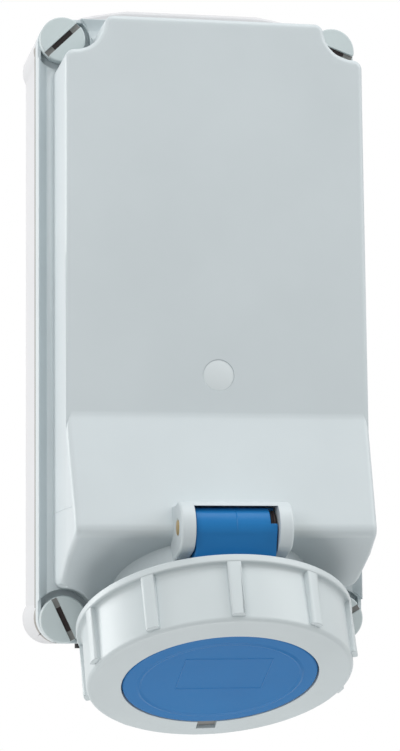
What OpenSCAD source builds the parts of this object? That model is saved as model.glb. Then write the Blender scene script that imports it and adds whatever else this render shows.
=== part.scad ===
// Wall-mounted pin-and-sleeve socket outlet, single phase, with a hinged lid and a bayonet locking ring.
// Millimetres. The origin is the centre of the wall face: +X right, +Z up, and -Y points out of the wall.
// "Forward" is the distance from the wall. "Out" is the distance from the slanted face along the socket axis.

/* [Enclosure] */
// Width of the cover flange, the widest part of the enclosure
box_w = 139; // [126:1:160]
// Height of the cover flange
box_h = 266; // [240:1:300]
// Corner radius of the flange and of the base's corner lobes
box_corner_r = 11; // [10:0.5:12]
// Depth of the rear housing
base_depth = 46; // [42:1:60]
// Wall of the rear housing and of the hood
wall = 3; // [2.5:0.1:3.5]
// Thickness of the back that lies on the wall
back_t = 3.5; // [3:0.25:5]
// Distance of the base's flat sides inside its corner lobes
side_inset = 1.5; // [1:0.25:2]
// Thickness of the seal between the rear housing and the hood
housing_seal_t = 1.5; // [1:0.25:3]
// Width of that seal's rim
housing_seal_w = 5.5; // [5:0.25:6]
// Distance of that seal's rim from the base's flat side
housing_seal_inset = 0.5; // [0.25:0.25:1]

/* [Wall fixing] */
// Distance of the fixing holes from the flange's sides
fixing_side_margin = 19.5; // [16.5:0.5:29.5]
// Distance of the fixing holes from the flange's top and bottom
fixing_end_margin = 38; // [33:1:58]
// Diameter of the fixing holes
fixing_d = 6.5; // [5:0.5:8]

/* [Cable entry] */
// Diameter of the tapped cable entry in the top
entry_d = 30.4; // [24:0.1:32]
// Distance of the arched pad around the cable entry from the flange's sides
pad_margin = 19.5; // [17.5:0.5:29.5]
// Height of the pad's flat top above the flange
pad_rise = 8; // [6:0.5:12]
// Radius of the pad's arched shoulders
pad_arch_r = 209; // [180:1:240]
// Height of the arch that the flat top cuts off
pad_flat_cut = 2; // [1.5:0.25:3]
// Distance of the pad from the base's front and back
pad_inset = 2; // [1:0.5:3]

/* [Front hood] */
// Distance of the hood's sides from the flange's sides
hood_side_margin = 6.5; // [5.5:0.25:8.5]
// Distance of the hood's top from the flange's top
hood_top_margin = 8; // [5:0.5:10]
// Depth of the hood from the flange to the flat front panel
hood_depth = 40; // [35:1:55]
// Thickness of the hood's flange
flange_t = 7.5; // [6:0.5:10]
// Width of the sloping lip along the flange's sides and top
lip_w = 3.8; // [2:0.1:4.5]
// Height of that lip
lip_h = 3; // [1.5:0.25:4]
// Height of the crease where the front starts to slope out, above the flange's bottom
crease_height = 92; // [78:1:113]
// Depth of the hood from the flange to the nose, its lower front edge
nose_depth = 58.4; // [55:0.2:63]
// Height of the nose above the flange's bottom
nose_height = 43; // [41:0.5:45]
// Distance by which each side closes in towards the nose
nose_inset = 1.6; // [0.4:0.2:2]
// Rounding of the hood's top edge
top_edge_r = 4; // [2:0.5:6]
// Rounding of the nose
nose_r = 5; // [3:0.5:6]
// Radius of the concave corner notches
notch_r = 12.8; // [12:0.2:13.4]
// Rounding where a notch meets the hood's sides and top
notch_blend_r = 4; // [3:0.5:5]
// Diameter of the round blank mark on the front panel
mark_d = 13; // [8:1:20]
// Height of the round mark above the crease
mark_height = 16.6; // [12:0.2:30]
// Depth of the round mark
mark_depth = 0.4; // [0.2:0.1:0.8]

/* [Cover screws] */
// Distance of the cover screws from the flange's sides
screw_side_margin = 10.3; // [9.5:0.1:11]
// Distance of the cover screws from the flange's top and bottom
screw_end_margin = 10; // [9.5:0.25:11]
// Diameter of the screw heads
head_d = 19.5; // [16:0.5:21]
// Height of the screw heads
head_h = 4.5; // [3:0.5:6]
// Diameter of the screw shanks
shank_d = 6; // [5:0.5:6.5]
// Length of the screw shanks
shank_len = 24; // [20:1:30]
// Width of the screwdriver slot
slot_w = 2.4; // [1.6:0.2:3]
// Depth of the screwdriver slot
slot_depth = 1.6; // [1:0.2:2]
// Depth of the pockets around the screw heads
screw_pocket_depth = 4; // [2:0.5:4.5]
// Diameter of the threaded inserts in the base's pillars
insert_nut_d = 10; // [9:0.5:11]
// Length of the threaded inserts
insert_nut_len = 14; // [10:1:16]
// Diameter of the pillars in the base's corners
pillar_d = 18; // [16:0.5:19]
// Outer diameter of the seals under the screw heads
screw_seal_d = 12; // [10:0.5:14]
// Thickness of the seals under the screw heads
screw_seal_t = 1; // [0.8:0.1:1.5]

/* [Drain plug] */
// Diameter of the drain plug's head
drain_head_d = 9; // [7:0.5:10]
// Height of the drain plug's head
drain_head_h = 3.5; // [2:0.25:5]
// Diameter of the drain plug's stem
drain_stem_d = 6; // [4:0.5:6.5]
// Distance of the drain plug from the flange's left side
drain_side_margin = 22.7; // [14.5:0.2:29.5]
// Distance of the drain plug from the base's front
drain_margin = 10; // [8:1:26]

/* [Socket collar] */
// Angle between the socket axis and the vertical
socket_tilt = 26; // [25:0.5:27]
// Distance of the collar from the nose, along the slanted face
nose_gap = 3.25; // [2:0.25:4]
// Outer diameter of the collar
collar_d = 82; // [74:0.5:90]
// Wall of the collar's mouth
collar_wall = 5; // [4.5:0.25:5.5]
// Width of the ledge that narrows the collar's bore beside the contact carrier
collar_ledge_w = 0.5; // [0.25:0.25:1]
// Out position of the collar's floor
cup_floor = 14; // [13.5:0.25:15]
// Out position of the bayonet lugs' back
lug_out = 22; // [21.5:0.25:24]
// Thickness of the bayonet lugs along the axis
lug_t = 5; // [3:0.5:6]
// Height of the bayonet lugs above the collar
lug_h = 4.5; // [3:0.25:4.75]
// Angle that a bayonet lug covers
lug_angle = 24; // [16:1:30]

/* [Contacts] */
// Width of the gap around the contact carrier's nose, which takes the plug's skirt
skirt_gap_w = 8; // [7.5:0.25:9.5]
// Recess of the carrier's face behind the collar's mouth
carrier_recess = 9.5; // [8:0.5:11]
// Thickness of the carrier's flange
carrier_flange_t = 2.5; // [2:0.25:4]
// Thickness of the flat seal under the carrier
carrier_seal_t = 1; // [0.6:0.1:1.5]
// Wall between the contacts and the flat of the carrier's tail, which goes into the hood
tail_wall = 2.5; // [2:0.25:3]
// Length of the carrier's tail behind the slanted face
tail_len = 12; // [8:1:16]
// Distance of the line, neutral and earth contacts' middles from the edge of the carrier's nose
pitch_margin = 10; // [9.5:0.25:11]
// Bore of the line and neutral sleeves
power_bore = 8.1; // [7.5:0.1:8.5]
// Bore of the earth sleeve
earth_bore = 10.1; // [9.5:0.1:10.5]
// Bore of the pilot sleeve
pilot_bore = 6.1; // [5.5:0.1:6.5]
// Wall of a contact sleeve
sleeve_wall = 1.7; // [1.2:0.1:1.9]
// Depth of the pin bore in a sleeve
sleeve_depth = 22; // [18:1:30]
// Length of a contact's terminal behind the tail
terminal_len = 14; // [12:1:18]
// Diameter of the terminal screws
terminal_screw_d = 4; // [3:0.5:5]
// Diameter of the screws that hold the carrier
carrier_screw_d = 3; // [2.5:0.5:3.5]

/* [Hinge] */
// Distance of the hinge axis from the collar
hinge_gap = 10.9; // [10.5:0.1:11.5]
// Out position of the hinge axis
hinge_out = 1.5; // [1:0.25:2]
// Diameter of the hinge pin
pin_d = 6; // [5:0.25:6.5]
// Diameter of the lid's hinge barrel
barrel_d = 16; // [15:0.5:16.5]
// Width of the lid's hinge arm
arm_w = 32.5; // [28:0.5:34]
// Thickness of the bracket's ears
ear_t = 5.7; // [4:0.1:7]
// Height of the ears around the hinge axis
ear_r = 10.3; // [10:0.1:11]
// Wire of the lid spring
spring_wire_d = 1.2; // [0.8:0.1:1.4]
// Turns of the lid spring
spring_turns = 5; // [3:1:6]

/* [Locking ring] */
// Out position of the ring's back edge
ring_out = 15.5; // [15:0.25:16.5]
// Length of the ring along its axis
ring_len = 28; // [27:0.5:32]
// Gap between the collar and the ring
ring_gap = 9; // [8.75:0.25:10]
// Wall of the ring between its ribs
ring_wall = 4.3; // [3:0.1:5]
// Height of the ribs and of the back rim
rib_h = 2.5; // [1:0.25:4]
// Width of a rib
rib_w = 5.5; // [3:0.25:8]
// Number of ribs
rib_count = 10; // [6:1:14]
// Angle of the first rib from the top, to the left
rib_start = 2.4; // [0:0.2:30]
// Thickness of the back rim
rim_t = 3.5; // [2:0.25:4]
// Rounding of the ring's front edge
ring_edge_r = 2; // [1:0.25:3]
// Thickness of the ring's front
front_t = 2.5; // [2:0.25:4]
// Width of the ring's front ledge
front_ledge_w = 9.8; // [9:0.1:11]
// Angle that the ring turns to lock
lock_angle = 40; // [36:1:42]

/* [Lid] */
// Gap between the ring and the lid's disc, behind the ring's front ledge
lid_gap = 4; // [3.5:0.25:4.5]
// Thickness of the lid's disc
lid_t = 3; // [2.5:0.25:4]
// Recess of the lid's raised face behind the ring's front
lid_recess = 0.7; // [0.1:0.1:0.8]
// Rounding of the raised face's edge
lid_edge_r = 0.8; // [0.4:0.1:0.8]
// Width of the slope around the raised face
lid_slope_w = 6.6; // [4:0.2:8]
// Height of that slope
lid_slope_h = 0.8; // [0.3:0.1:0.8]
// Thickness of the lid's seal
lid_seal_t = 2.2; // [1.8:0.1:3]
// Half the angle that the lid's skirt covers at the hinge
skirt_angle = 19; // [14:0.5:19.5]

/* [Hidden] */

// Clearances: parts that move past each other, parts that seat, a shaft that turns, a shaft that is pressed
move_gap = 0.3;
seat_gap = 0.1;
turn_gap = 0.06;
press_gap = 0.02;
// Overshoot of a cut past the face that it opens
eps = 1;
$fn = 96;

// Sizes that follow from the flange's edges
hood_w = box_w - 2 * hood_side_margin;
hood_top = box_h / 2 - hood_top_margin;
screw_dx = box_w - 2 * screw_side_margin;
screw_dz = box_h - 2 * screw_end_margin;
fixing_dx = box_w - 2 * fixing_side_margin;
fixing_dz = box_h - 2 * fixing_end_margin;
pad_w = box_w - 2 * pad_margin;
drain_offset = box_w / 2 - drain_side_margin;
drain_forward = base_depth - drain_margin;

// Forward positions of the flange, the front panel and the nose
flange_back = base_depth + housing_seal_t;
flange_front = flange_back + flange_t;
panel_forward = flange_front + hood_depth;
nose_forward = flange_front + nose_depth;

// Heights of the nose, the crease and the mark
nose_z = nose_height - box_h / 2;
crease_z = crease_height - box_h / 2;
mark_z = crease_z + mark_height;

// Sizes that follow from the collar
collar_bore = collar_d - 2 * collar_wall;
cup_bore = collar_bore - 2 * collar_ledge_w;
carrier_d = cup_bore - 2 * skirt_gap_w;
pitch_d = carrier_d - 2 * pitch_margin;
tail_flat = pitch_d / 4 + power_bore / 2 + sleeve_wall + tail_wall;
axis_setback = collar_d / 2 + nose_gap;
hinge_reach = collar_d / 2 + hinge_gap;
ring_bore = collar_d + 2 * ring_gap;
front_opening = ring_bore - 2 * front_ledge_w;
lid_d = ring_bore - 2 * lid_gap;

// Corner positions, as signs of X and Z
corners = [[-1, 1], [1, 1], [-1, -1], [1, -1]];
// Angles of the screw slots, in the same order
slot_angles = [44, -20, -65, 30];

// Socket frame: the axis meets the slanted face here
socket_forward = nose_forward - axis_setback * cos(socket_tilt);
socket_z = nose_z - axis_setback * sin(socket_tilt);

// Out positions of the lid's stack, counted back from the ring's front
ring_front = ring_out + ring_len;
lid_front = ring_front - front_t - move_gap;
lid_back = lid_front - lid_t;
lid_seal_back = lid_back - lid_seal_t;
collar_mouth = lid_seal_back - move_gap;
lid_face = ring_front - lid_recess;
carrier_face = collar_mouth - carrier_recess;
carrier_seat = cup_floor + carrier_seal_t;

// Room around the carrier's tail
passage_gap = 0.75;
// Out position where the bore of the collar's mouth starts
mouth_back = carrier_face + move_gap;

// Bayonet ramps and lid keepers inside the ring
ramp_t = 3.7;
ramp_gap = 0.8;
ramp_reach = collar_d / 2 + lug_h + ramp_gap;
keeper_t = 2.8;
keeper_lap = 1.2;
keeper_reach = lid_d / 2 - keeper_lap;
keeper_angle = 16;

// Directions around the socket axis: the hinge, the lugs, the keepers and the contacts
hinge_at = 90;
lugs_at = [hinge_at - 90, hinge_at + 90];
keepers_at = [hinge_at + 120, hinge_at + 180, hinge_at + 240];
earth_at = hinge_at;
line_at = 210;
neutral_at = 330;
// Directions of the earth and pilot terminal screws, turned to where a screwdriver reaches them
earth_screw_at = earth_at + 30;
pilot_screw_at = earth_at + 60;
contact_back = -tail_len - terminal_len;
carrier_screw_r = (carrier_d + cup_bore) / 4;
carrier_flange_d = cup_bore - 4 * seat_gap;

function unit(v) = v / norm(v);
function left_of(a, b) = let (e = unit(b - a)) [-e[1], e[0]];

// Moves every edge of a counter-clockwise outline inwards by d
function inset(points, d) =
    let (n = len(points))
    [for (i = [0 : n - 1])
        let (
            n1 = left_of(points[(i + n - 1) % n], points[i]),
            n2 = left_of(points[i], points[(i + 1) % n])
        )
        points[i] + d * (n1 + n2) / (1 + n1 * n2)];

// Points of an arc around a middle, from one angle through another
function arc(middle, r, from, sweep, steps = 8) =
    [for (i = [0 : steps]) middle + r * [cos(from + sweep * i / steps), sin(from + sweep * i / steps)]];

// Points of an arc that rounds the convex corner b between a and c
function corner_arc(a, b, c, r) =
    let (
        n1 = left_of(a, b),
        n2 = left_of(b, c),
        middle = b + r * (n1 + n2) / (1 + n1 * n2)
    )
    arc(middle, r, atan2(-n1[1], -n1[0]), acos(n1 * n2));

// Side outline of the hood as [forward, z], from a given back
function hood_side(back) = [
    [back, nose_z - (nose_forward - back) * tan(socket_tilt)],
    [nose_forward, nose_z],
    [panel_forward, crease_z],
    [panel_forward, hood_top],
    [back, hood_top]
];

// Half outline of the hood from above as [x, forward], closing in past the front panel
function hood_half_w(forward) =
    hood_w / 2 - nose_inset * max(0, forward - panel_forward) / (nose_forward - panel_forward);

module forward(from, to) {
    translate([0, -from, 0]) rotate([90, 0, 0]) linear_extrude(to - from) children();
}

// Extrudes a [forward, z] outline across the part
module across(w) {
    rotate([90, 0, -90]) linear_extrude(w, center = true) children();
}

// Places its children in the socket frame: z is out along the socket axis, y is towards the hinge
module at_socket() {
    translate([0, -socket_forward, socket_z]) rotate([180 - socket_tilt, 0, 0]) children();
}

// Extrudes a [y, out] outline across the socket
module socket_across(w, middle = 0) {
    translate([middle, 0, 0]) rotate([90, 0, 90]) linear_extrude(w, center = true) children();
}

module at_corners() {
    for (c = corners) translate([c[0] * screw_dx / 2, c[1] * screw_dz / 2]) children();
}

module rounded_rect(w, h, r) {
    square([w - 2 * r, h], center = true);
    square([w, h - 2 * r], center = true);
    for (c = corners) translate([c[0] * (w / 2 - r), c[1] * (h / 2 - r)]) circle(r);
}

// Ring of given radii between two out positions
module tube(r_in, r_out, from, to) {
    translate([0, 0, from]) difference() {
        cylinder(r = r_out, h = to - from);
        translate([0, 0, -eps]) cylinder(r = r_in, h = to - from + 2 * eps);
    }
}

// Part of a ring that covers an angle around a middle direction
module tube_sector(r_in, r_out, from, to, middle, angle) {
    reach = 2 * r_out;
    intersection() {
        tube(r_in, r_out, from, to);
        translate([0, 0, from - eps]) linear_extrude(to - from + 2 * eps) polygon([
            [0, 0],
            reach * [cos(middle - angle / 2), sin(middle - angle / 2)],
            reach * [cos(middle), sin(middle)],
            reach * [cos(middle + angle / 2), sin(middle + angle / 2)]
        ]);
    }
}

// Rear housing: a tray with corner lobes, screw pillars and an arched pad for the cable entry
base_w = box_w - 2 * side_inset;
base_h = box_h - 2 * side_inset;
pad_top = box_h / 2 + pad_rise;

module base_outline() {
    rounded_rect(base_w, base_h, box_corner_r);
    for (c = corners) {
        translate([c[0] * (box_w / 2 - box_corner_r), c[1] * (box_h / 2 - box_corner_r)])
            circle(box_corner_r);
    }
}

module base_cavity_outline() {
    difference() {
        rounded_rect(base_w - 2 * wall, base_h - 2 * wall, box_corner_r - wall);
        at_corners() circle(d = pillar_d);
    }
}

module pad_outline() {
    intersection() {
        translate([0, pad_top + pad_flat_cut - pad_arch_r]) circle(pad_arch_r, $fn = 180);
        translate([-pad_w / 2, base_h / 2 - wall]) square([pad_w, pad_top - base_h / 2 + wall]);
    }
}

module rear_housing() {
    color("gainsboro") difference() {
        union() {
            forward(0, base_depth) base_outline();
            forward(pad_inset, base_depth - pad_inset) pad_outline();
        }
        forward(back_t, base_depth + eps) base_cavity_outline();
        forward(flange_front - shank_len - eps, base_depth + eps)
            at_corners() circle(d = shank_d + 2 * seat_gap);
        forward(base_depth - insert_nut_len, base_depth + eps)
            at_corners() circle(d = insert_nut_d + 2 * press_gap);
        translate([0, -base_depth / 2, 0]) cylinder(d = entry_d, h = pad_top + eps);
        forward(-eps, back_t + eps) for (c = corners) {
            translate([c[0] * fixing_dx / 2, c[1] * fixing_dz / 2]) circle(d = fixing_d);
        }
        translate([-drain_offset, -drain_forward, -base_h / 2 - eps])
            cylinder(d = drain_stem_d + 2 * press_gap, h = wall + 2 * eps);
        translate([-drain_offset, -drain_forward, -base_h / 2 - drain_head_h])
            cylinder(d = drain_head_d + 2 * move_gap, h = drain_head_h);
    }
}

// Front hood: a flange, a deep cover with notched corners, the slanted face, the collar and the bracket
module notch_outline() {
    side_x = hood_w / 2;
    screw_x = screw_dx / 2;
    screw_z = screw_dz / 2;
    reach = notch_r + notch_blend_r;
    side_blend_x = side_x - notch_blend_r;
    side_blend_z = screw_z - sqrt(reach * reach - pow(screw_x - side_blend_x, 2));
    top_blend_z = hood_top - notch_blend_r;
    top_blend_x = screw_x - sqrt(reach * reach - pow(screw_z - top_blend_z, 2));
    far = hood_top + box_w;
    for (c = corners) scale([c[0], c[1]]) {
        translate([screw_x, screw_z]) circle(notch_r);
        difference() {
            polygon([[screw_x, screw_z], [side_blend_x, side_blend_z], [far, side_blend_z], [far, screw_z]]);
            translate([side_blend_x, side_blend_z]) circle(notch_blend_r);
        }
    }
    for (side = [-1, 1]) scale([side, 1]) difference() {
        polygon([
            [screw_x, screw_z], [top_blend_x, top_blend_z], [top_blend_x, far], [far, far], [far, screw_z]
        ]);
        translate([top_blend_x, top_blend_z]) circle(notch_blend_r);
    }
}

module hood_plan(shrink, back) {
    tip = nose_forward + eps;
    half = [
        [hood_half_w(back) - shrink, -back],
        [hood_half_w(panel_forward) - shrink, -panel_forward + shrink],
        [hood_half_w(tip) - shrink, -tip]
    ];
    polygon([for (p = half) p, for (i = [2 : -1 : 0]) [-half[i][0], half[i][1]]]);
}

module hood_block() {
    side = hood_side(flange_front - eps);
    rounded_side = [
        side[0],
        each corner_arc(side[0], side[1], side[2], nose_r),
        side[2],
        each corner_arc(side[2], side[3], side[4], top_edge_r),
        side[4]
    ];
    intersection() {
        across(2 * box_w) polygon(rounded_side);
        translate([0, 0, -box_h]) linear_extrude(2 * box_h) hood_plan(0, flange_front - eps);
    }
}

// Lip that slopes down from the flange's edge to the hood's foot and leaves the screws free
module flange_lip() {
    back = flange_front - eps;
    top = flange_front + lip_h;
    difference() {
        union() {
            for (side = [-1, 1]) translate([0, 0, -screw_dz / 2]) linear_extrude(screw_dz) polygon([
                [side * box_w / 2, -back],
                [side * box_w / 2, -top],
                [side * (box_w / 2 - lip_w), -flange_front],
                [side * (box_w / 2 - lip_w), -back]
            ]);
            across(screw_dx) polygon([
                [back, box_h / 2 - lip_w],
                [flange_front, box_h / 2 - lip_w],
                [top, box_h / 2],
                [back, box_h / 2]
            ]);
        }
        forward(flange_front, top + eps) at_corners() circle(notch_r);
    }
}

// Pockets around the screw heads, inside the flange's edge, with a seat left under each head
screw_pocket_rim = 1.5;
screw_pocket_ledge = 0.4;
screw_seat_d = screw_seal_d + 2 * wall;

module screw_pockets() {
    forward(flange_front - screw_pocket_depth, flange_front + eps) difference() {
        intersection() {
            rounded_rect(
                box_w - 2 * screw_pocket_rim, box_h - 2 * screw_pocket_rim, box_corner_r - screw_pocket_rim
            );
            at_corners() circle(notch_r - screw_pocket_ledge);
        }
        at_corners() circle(d = screw_seat_d);
    }
}

module hood_cavity() {
    difference() {
        intersection() {
            across(2 * box_w) polygon(inset(hood_side(flange_back - wall - eps), wall));
            translate([0, 0, -box_h]) linear_extrude(2 * box_h) hood_plan(wall, flange_back - wall - eps);
        }
        forward(0, nose_forward) at_corners() circle(notch_r + wall);
    }
}

// Side outline of the hinge ears as [y, out]: their root in the collar and their foot in the nose
ear_root = 5;
ear_foot = 3.5;
ear_sink = 2;
ear_shoulder = 0.75;

module ear_outline() {
    root = collar_d / 2 - ear_root;
    translate([hinge_reach, hinge_out]) circle(ear_r);
    polygon([
        [hinge_reach, hinge_out - ear_r],
        [axis_setback, hinge_out - ear_r - ear_foot],
        [root, -ear_sink],
        [root, hinge_out + ear_r * ear_shoulder],
        [hinge_reach, hinge_out + ear_r]
    ]);
}

arm_gap = 0.55;
ear_middle = arm_w / 2 + arm_gap + ear_t / 2;
pocket_r = barrel_d / 2 + 2 * move_gap;
web_t = 8;
web_lip = pocket_r / 5;

module hinge_bracket() {
    for (side = [-1, 1]) socket_across(ear_t, side * ear_middle) ear_outline();
    socket_across(2 * ear_middle) intersection() {
        ear_outline();
        translate([0, hinge_out - pocket_r - web_t]) square([2 * hinge_reach, web_t + web_lip]);
    }
}

// Round outline of the carrier's tail, cut flat beside the flange
module tail_outline(gap) {
    intersection() {
        circle(d = carrier_d + 2 * gap);
        translate([-carrier_d, -tail_flat - gap]) square(2 * carrier_d);
    }
}

module front_hood() {
    color("lightgray") difference() {
        union() {
            forward(flange_back, flange_front) rounded_rect(box_w, box_h, box_corner_r);
            flange_lip();
            difference() {
                hood_block();
                forward(flange_front, nose_forward + eps) notch_outline();
            }
            at_socket() {
                translate([0, 0, -wall / 2]) cylinder(d = collar_d, h = collar_mouth + wall / 2);
                for (at = lugs_at) {
                    tube_sector(
                        collar_d / 2 - eps, collar_d / 2 + lug_h, lug_out, lug_out + lug_t, at, lug_angle
                    );
                }
                hinge_bracket();
            }
        }
        hood_cavity();
        screw_pockets();
        at_socket() {
            translate([0, 0, cup_floor]) cylinder(d = cup_bore, h = collar_mouth);
            translate([0, 0, mouth_back]) cylinder(d = collar_bore, h = collar_mouth);
            translate([0, 0, -wall - eps])
                linear_extrude(cup_floor + wall + 2 * eps) tail_outline(passage_gap);
            socket_across(arm_w + 2 * arm_gap) translate([hinge_reach, hinge_out]) circle(pocket_r);
            socket_across(2 * (ear_middle + ear_t))
                translate([hinge_reach, hinge_out]) circle(d = pin_d + 2 * press_gap);
            for (side = [-1, 1]) {
                translate([side * carrier_screw_r, 0, cup_floor - carrier_screw_grip - eps])
                    cylinder(d = carrier_screw_d + 2 * seat_gap, h = carrier_screw_grip + 2 * eps);
            }
        }
        forward(-eps, flange_back) translate([-box_w / 2, -box_h / 2 - side_inset])
            square([box_w, box_h]);
        forward(flange_back - eps, flange_front + eps) at_corners() circle(d = shank_d + 4 * seat_gap);
        forward(flange_front - screw_seal_t, flange_front + eps)
            at_corners() circle(d = screw_seal_d + 2 * seat_gap);
        forward(panel_forward - mark_depth, panel_forward + eps)
            translate([0, mark_z]) circle(d = mark_d);
    }
}

module housing_gasket() {
    w = base_w - 2 * housing_seal_inset;
    h = base_h - 2 * housing_seal_inset;
    r = box_corner_r - housing_seal_inset;
    color([0.13, 0.13, 0.14]) forward(base_depth, flange_back) difference() {
        rounded_rect(w, h, r);
        difference() {
            rounded_rect(w - 2 * housing_seal_w, h - 2 * housing_seal_w, r - housing_seal_w);
            at_corners() circle(d = pillar_d);
        }
        at_corners() circle(d = shank_d + 4 * seat_gap);
    }
}

module cover_screws() {
    color("silver") for (i = [0 : len(corners) - 1]) {
        translate([corners[i][0] * screw_dx / 2, -flange_front, corners[i][1] * screw_dz / 2])
            rotate([90, 0, 0]) difference() {
                union() {
                    cylinder(d = head_d, h = head_h);
                    translate([0, 0, -shank_len]) cylinder(d = shank_d, h = shank_len + eps);
                }
                translate([0, 0, head_h]) rotate([0, 0, slot_angles[i]]) {
                    cube([head_d + eps, slot_w, 2 * slot_depth], center = true);
                    cube([head_d / 3, slot_w, 4 * slot_depth], center = true);
                }
            }
    }
}

module cover_screw_seals() {
    color("black") forward(flange_front - screw_seal_t, flange_front) at_corners() difference() {
        circle(d = screw_seal_d);
        circle(d = shank_d + 2 * seat_gap);
    }
}

module pillar_inserts() {
    color("goldenrod") forward(base_depth - insert_nut_len, base_depth) at_corners() difference() {
        circle(d = insert_nut_d);
        circle(d = shank_d + 2 * seat_gap);
    }
}

module drain_plug() {
    color("black") translate([-drain_offset, -drain_forward, -base_h / 2]) {
        translate([0, 0, -drain_head_h]) cylinder(d = drain_head_d, h = drain_head_h);
        translate([0, 0, -eps]) cylinder(d = drain_stem_d, h = wall + 2 * eps);
    }
}

// Contact carrier: a nose inside the collar, a flange on the collar's floor and a tail into the hood
module contact_holes(gap) {
    for (spec = [[earth_at, earth_bore], [line_at, power_bore], [neutral_at, power_bore]]) {
        rotate(spec[0]) translate([pitch_d / 2, 0]) circle(d = spec[1] + 2 * sleeve_wall + 2 * gap);
    }
    circle(d = pilot_bore + 2 * sleeve_wall + 2 * gap);
}

module contact_carrier() {
    color("slategray") at_socket() difference() {
        union() {
            translate([0, 0, carrier_seat]) cylinder(d = carrier_d, h = carrier_face - carrier_seat);
            translate([0, 0, carrier_seat]) cylinder(d = carrier_flange_d, h = carrier_flange_t);
            translate([0, 0, -tail_len]) linear_extrude(tail_len + carrier_seat + eps) tail_outline(0);
        }
        translate([0, 0, -tail_len - eps])
            linear_extrude(tail_len + carrier_face + 2 * eps) contact_holes(press_gap);
        for (side = [-1, 1]) {
            translate([side * carrier_screw_r, 0, carrier_seat - eps])
                cylinder(d = carrier_screw_d + 2 * seat_gap, h = carrier_flange_t + 2 * eps);
        }
    }
}

module carrier_gasket() {
    color([0.13, 0.13, 0.14]) at_socket() translate([0, 0, cup_floor]) linear_extrude(carrier_seal_t) {
        difference() {
            circle(d = carrier_flange_d);
            tail_outline(passage_gap);
            for (side = [-1, 1]) {
                translate([side * carrier_screw_r, 0]) circle(d = carrier_screw_d + 2 * seat_gap);
            }
        }
    }
}

carrier_screw_grip = 7;

module carrier_screws() {
    seat = carrier_seat + carrier_flange_t;
    head_t = carrier_screw_d / 2;
    shank = seat - cup_floor + carrier_screw_grip;
    color("silver") at_socket() for (side = [-1, 1]) {
        translate([side * carrier_screw_r, 0, seat]) difference() {
            union() {
                cylinder(d = 2 * carrier_screw_d, h = head_t);
                translate([0, 0, -shank]) cylinder(d = carrier_screw_d, h = shank + head_t / 2);
            }
            translate([0, 0, head_t])
                cube([2 * carrier_screw_d + eps, carrier_screw_d / 4, head_t], center = true);
        }
    }
}

// Sleeve contact: an open bore for a pin in front and a terminal with a cross hole for its screw behind
contact_recess = 0.5;
wire_share = 0.8;
wire_stop_t = 2;
screw_rise = 1.5;
screw_slot_depth = 1;

module contact(bore, at, radius, screw_at) {
    outer = bore + 2 * sleeve_wall;
    color("gold") at_socket() translate(radius * [cos(at), sin(at), 0]) rotate(screw_at) difference() {
        translate([0, 0, contact_back]) cylinder(d = outer, h = carrier_face - contact_recess - contact_back);
        translate([0, 0, carrier_face - sleeve_depth]) cylinder(d = bore, h = sleeve_depth + eps);
        translate([0, 0, contact_back - eps])
            cylinder(d = bore * wire_share, h = terminal_len - wire_stop_t + eps);
        translate([0, 0, contact_back + terminal_len / 2]) rotate([0, 90, 0])
            cylinder(d = terminal_screw_d + 2 * press_gap, h = outer);
    }
}

module line_contact() {
    contact(power_bore, line_at, pitch_d / 2, line_at);
}

module neutral_contact() {
    contact(power_bore, neutral_at, pitch_d / 2, neutral_at);
}

module earth_contact() {
    contact(earth_bore, earth_at, pitch_d / 2, earth_screw_at);
}

module pilot_contact() {
    contact(pilot_bore, earth_at, 0, pilot_screw_at);
}

module terminal_screw(bore, at, radius, screw_at) {
    top = sleeve_wall + bore / 2 + screw_rise;
    tip = bore / 2 * (1 - wire_share) * 2;
    middle = [radius * cos(at), radius * sin(at), contact_back + terminal_len / 2];
    translate(middle) rotate(screw_at) rotate([0, 90, 0]) difference() {
        translate([0, 0, tip]) cylinder(d = terminal_screw_d, h = top - tip);
        translate([0, 0, top])
            cube([terminal_screw_d + eps, terminal_screw_d / 5, 2 * screw_slot_depth], center = true);
    }
}

module terminal_screws() {
    color("silver") at_socket() {
        terminal_screw(earth_bore, earth_at, pitch_d / 2, earth_screw_at);
        terminal_screw(power_bore, line_at, pitch_d / 2, line_at);
        terminal_screw(power_bore, neutral_at, pitch_d / 2, neutral_at);
        terminal_screw(pilot_bore, earth_at, 0, pilot_screw_at);
    }
}

module hinge_pin() {
    color("darkgoldenrod") at_socket() translate([0, hinge_reach, hinge_out]) rotate([0, 90, 0])
        cylinder(d = pin_d, h = 2 * (ear_middle + ear_t / 2), center = true);
}

// Lid spring: a coil around the pin in a pocket at the right end of the barrel
spring_r = pin_d / 2 + move_gap + spring_wire_d / 2;
spring_gap = 0.25;
spring_pitch = spring_wire_d + spring_gap;
spring_pocket_r = spring_r + spring_wire_d / 2 + move_gap;
spring_pocket_len = spring_turns * spring_pitch + spring_wire_d + 3 * move_gap;
// Window in the barrel above the spring's end
spring_window_w = 2.7;
spring_window_at = 66;
spring_window_angle = 80;

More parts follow.
